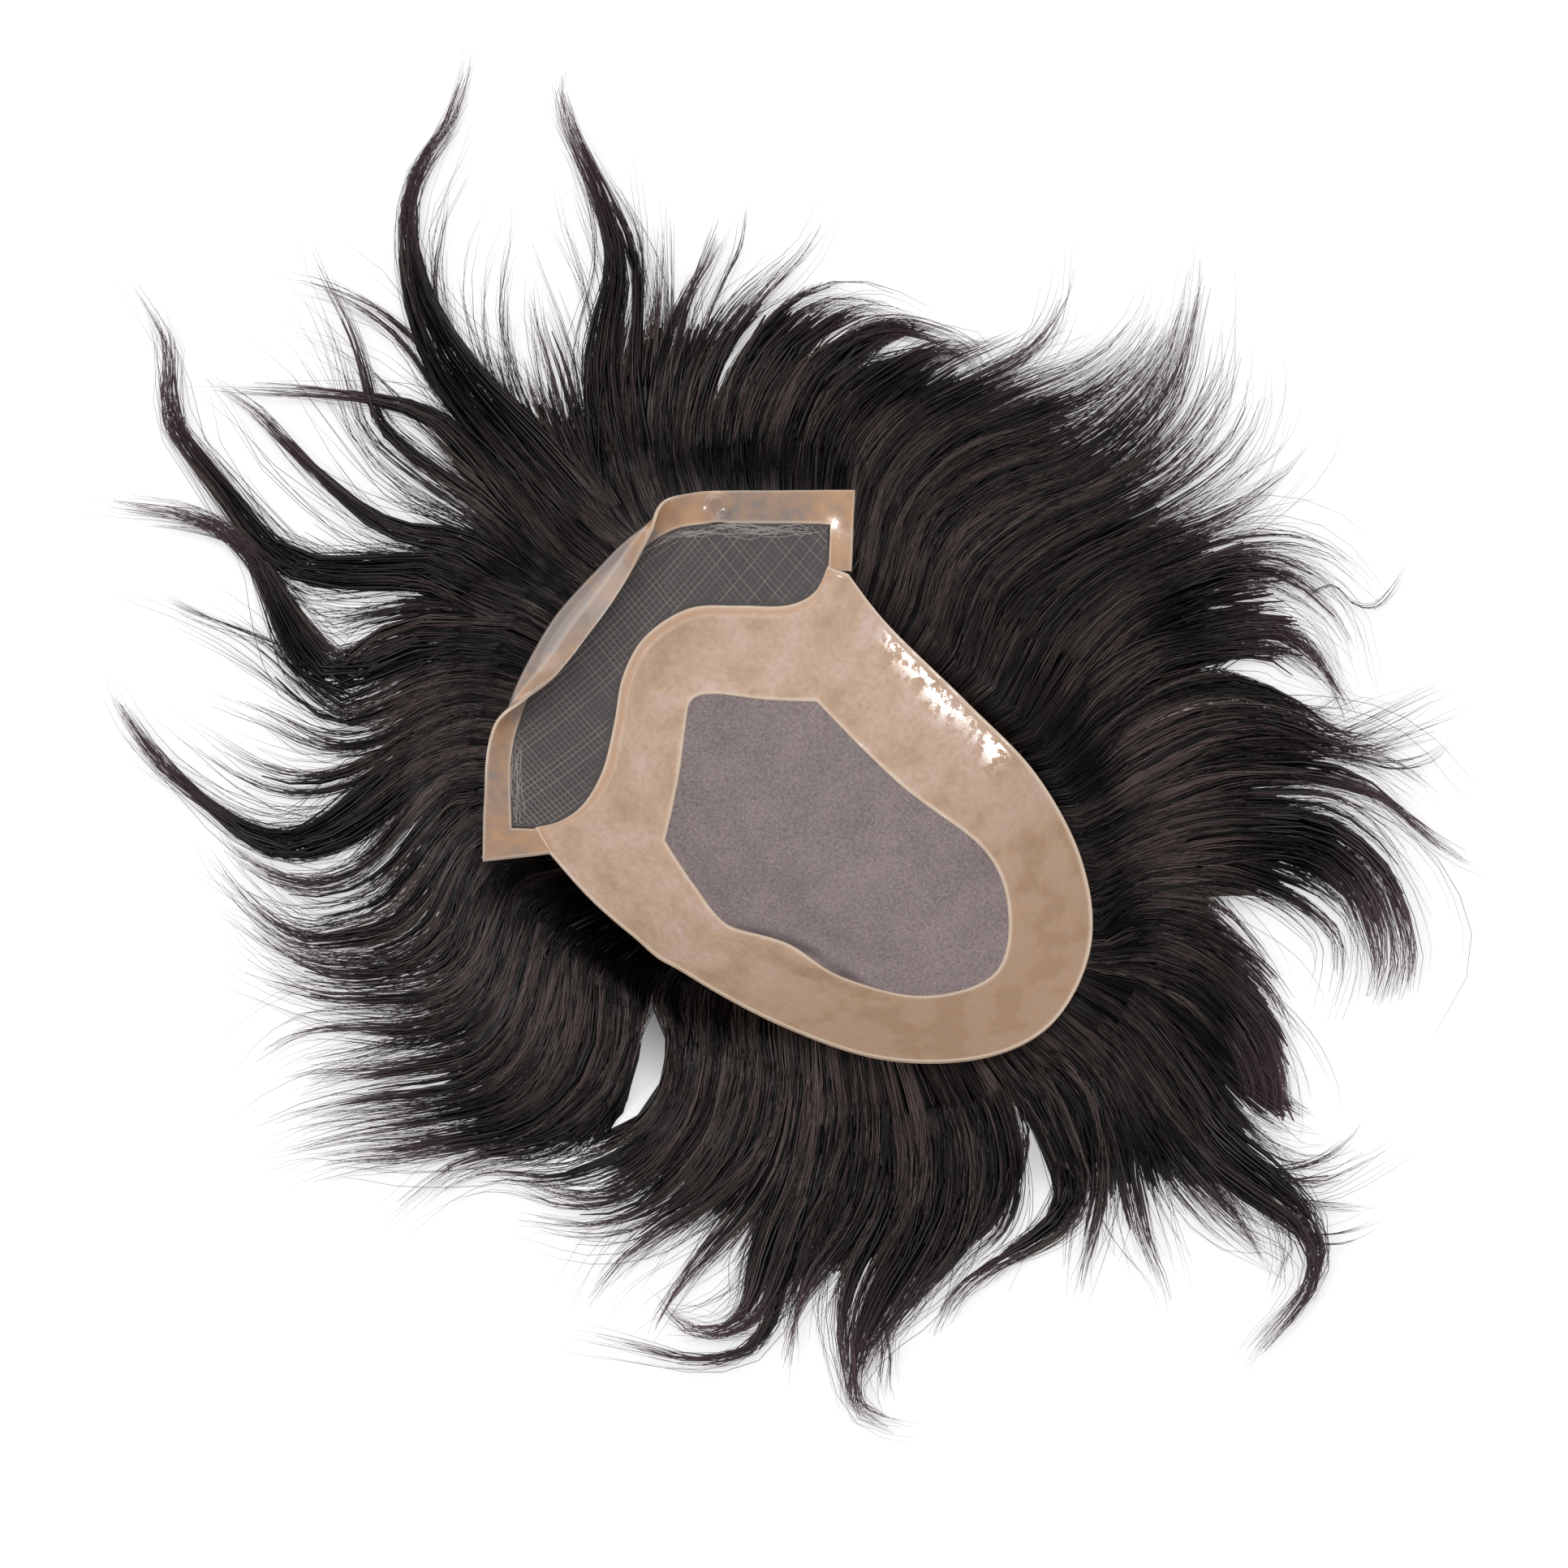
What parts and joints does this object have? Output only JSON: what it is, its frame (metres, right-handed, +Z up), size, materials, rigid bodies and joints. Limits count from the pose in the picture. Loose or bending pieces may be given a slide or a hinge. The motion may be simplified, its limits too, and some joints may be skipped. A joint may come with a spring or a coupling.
{
  "type": "lace front hairpiece",
  "caption": "Lace front hairpiece lying inside up: skin-banded base with lace hairline and mesh crown, an open bowl, and hair fanned out flat in locks all round.",
  "frame": {"origin": "on the surface it lies on, under the middle of the base, at the foot of the hair under the crown", "axes": "+Z up out of the open bowl, -Y towards the lace hairline, +Y towards the nape"},
  "size_m": [0.4378, 0.5228, 0.0514],
  "materials": {
    "skin": "tan poured polyurethane film, satin gloss",
    "mono": "grey-mauve fine monofilament mesh",
    "lace": "dark fine lace net",
    "hem": "clear tan polyurethane strip, glossy",
    "hair": "black-brown human hair, soft sheen"
  },
  "bodies": {
    "root": {"skin_band": "skin", "crown_mono": "mono", "front_lace": "lace", "front_hem": "hem", "crown_hair": "hair", "front_hair": "hair", "left_hair": "hair", "back_hair": "hair", "right_hair": "hair"}
  },
  "joints": []
}
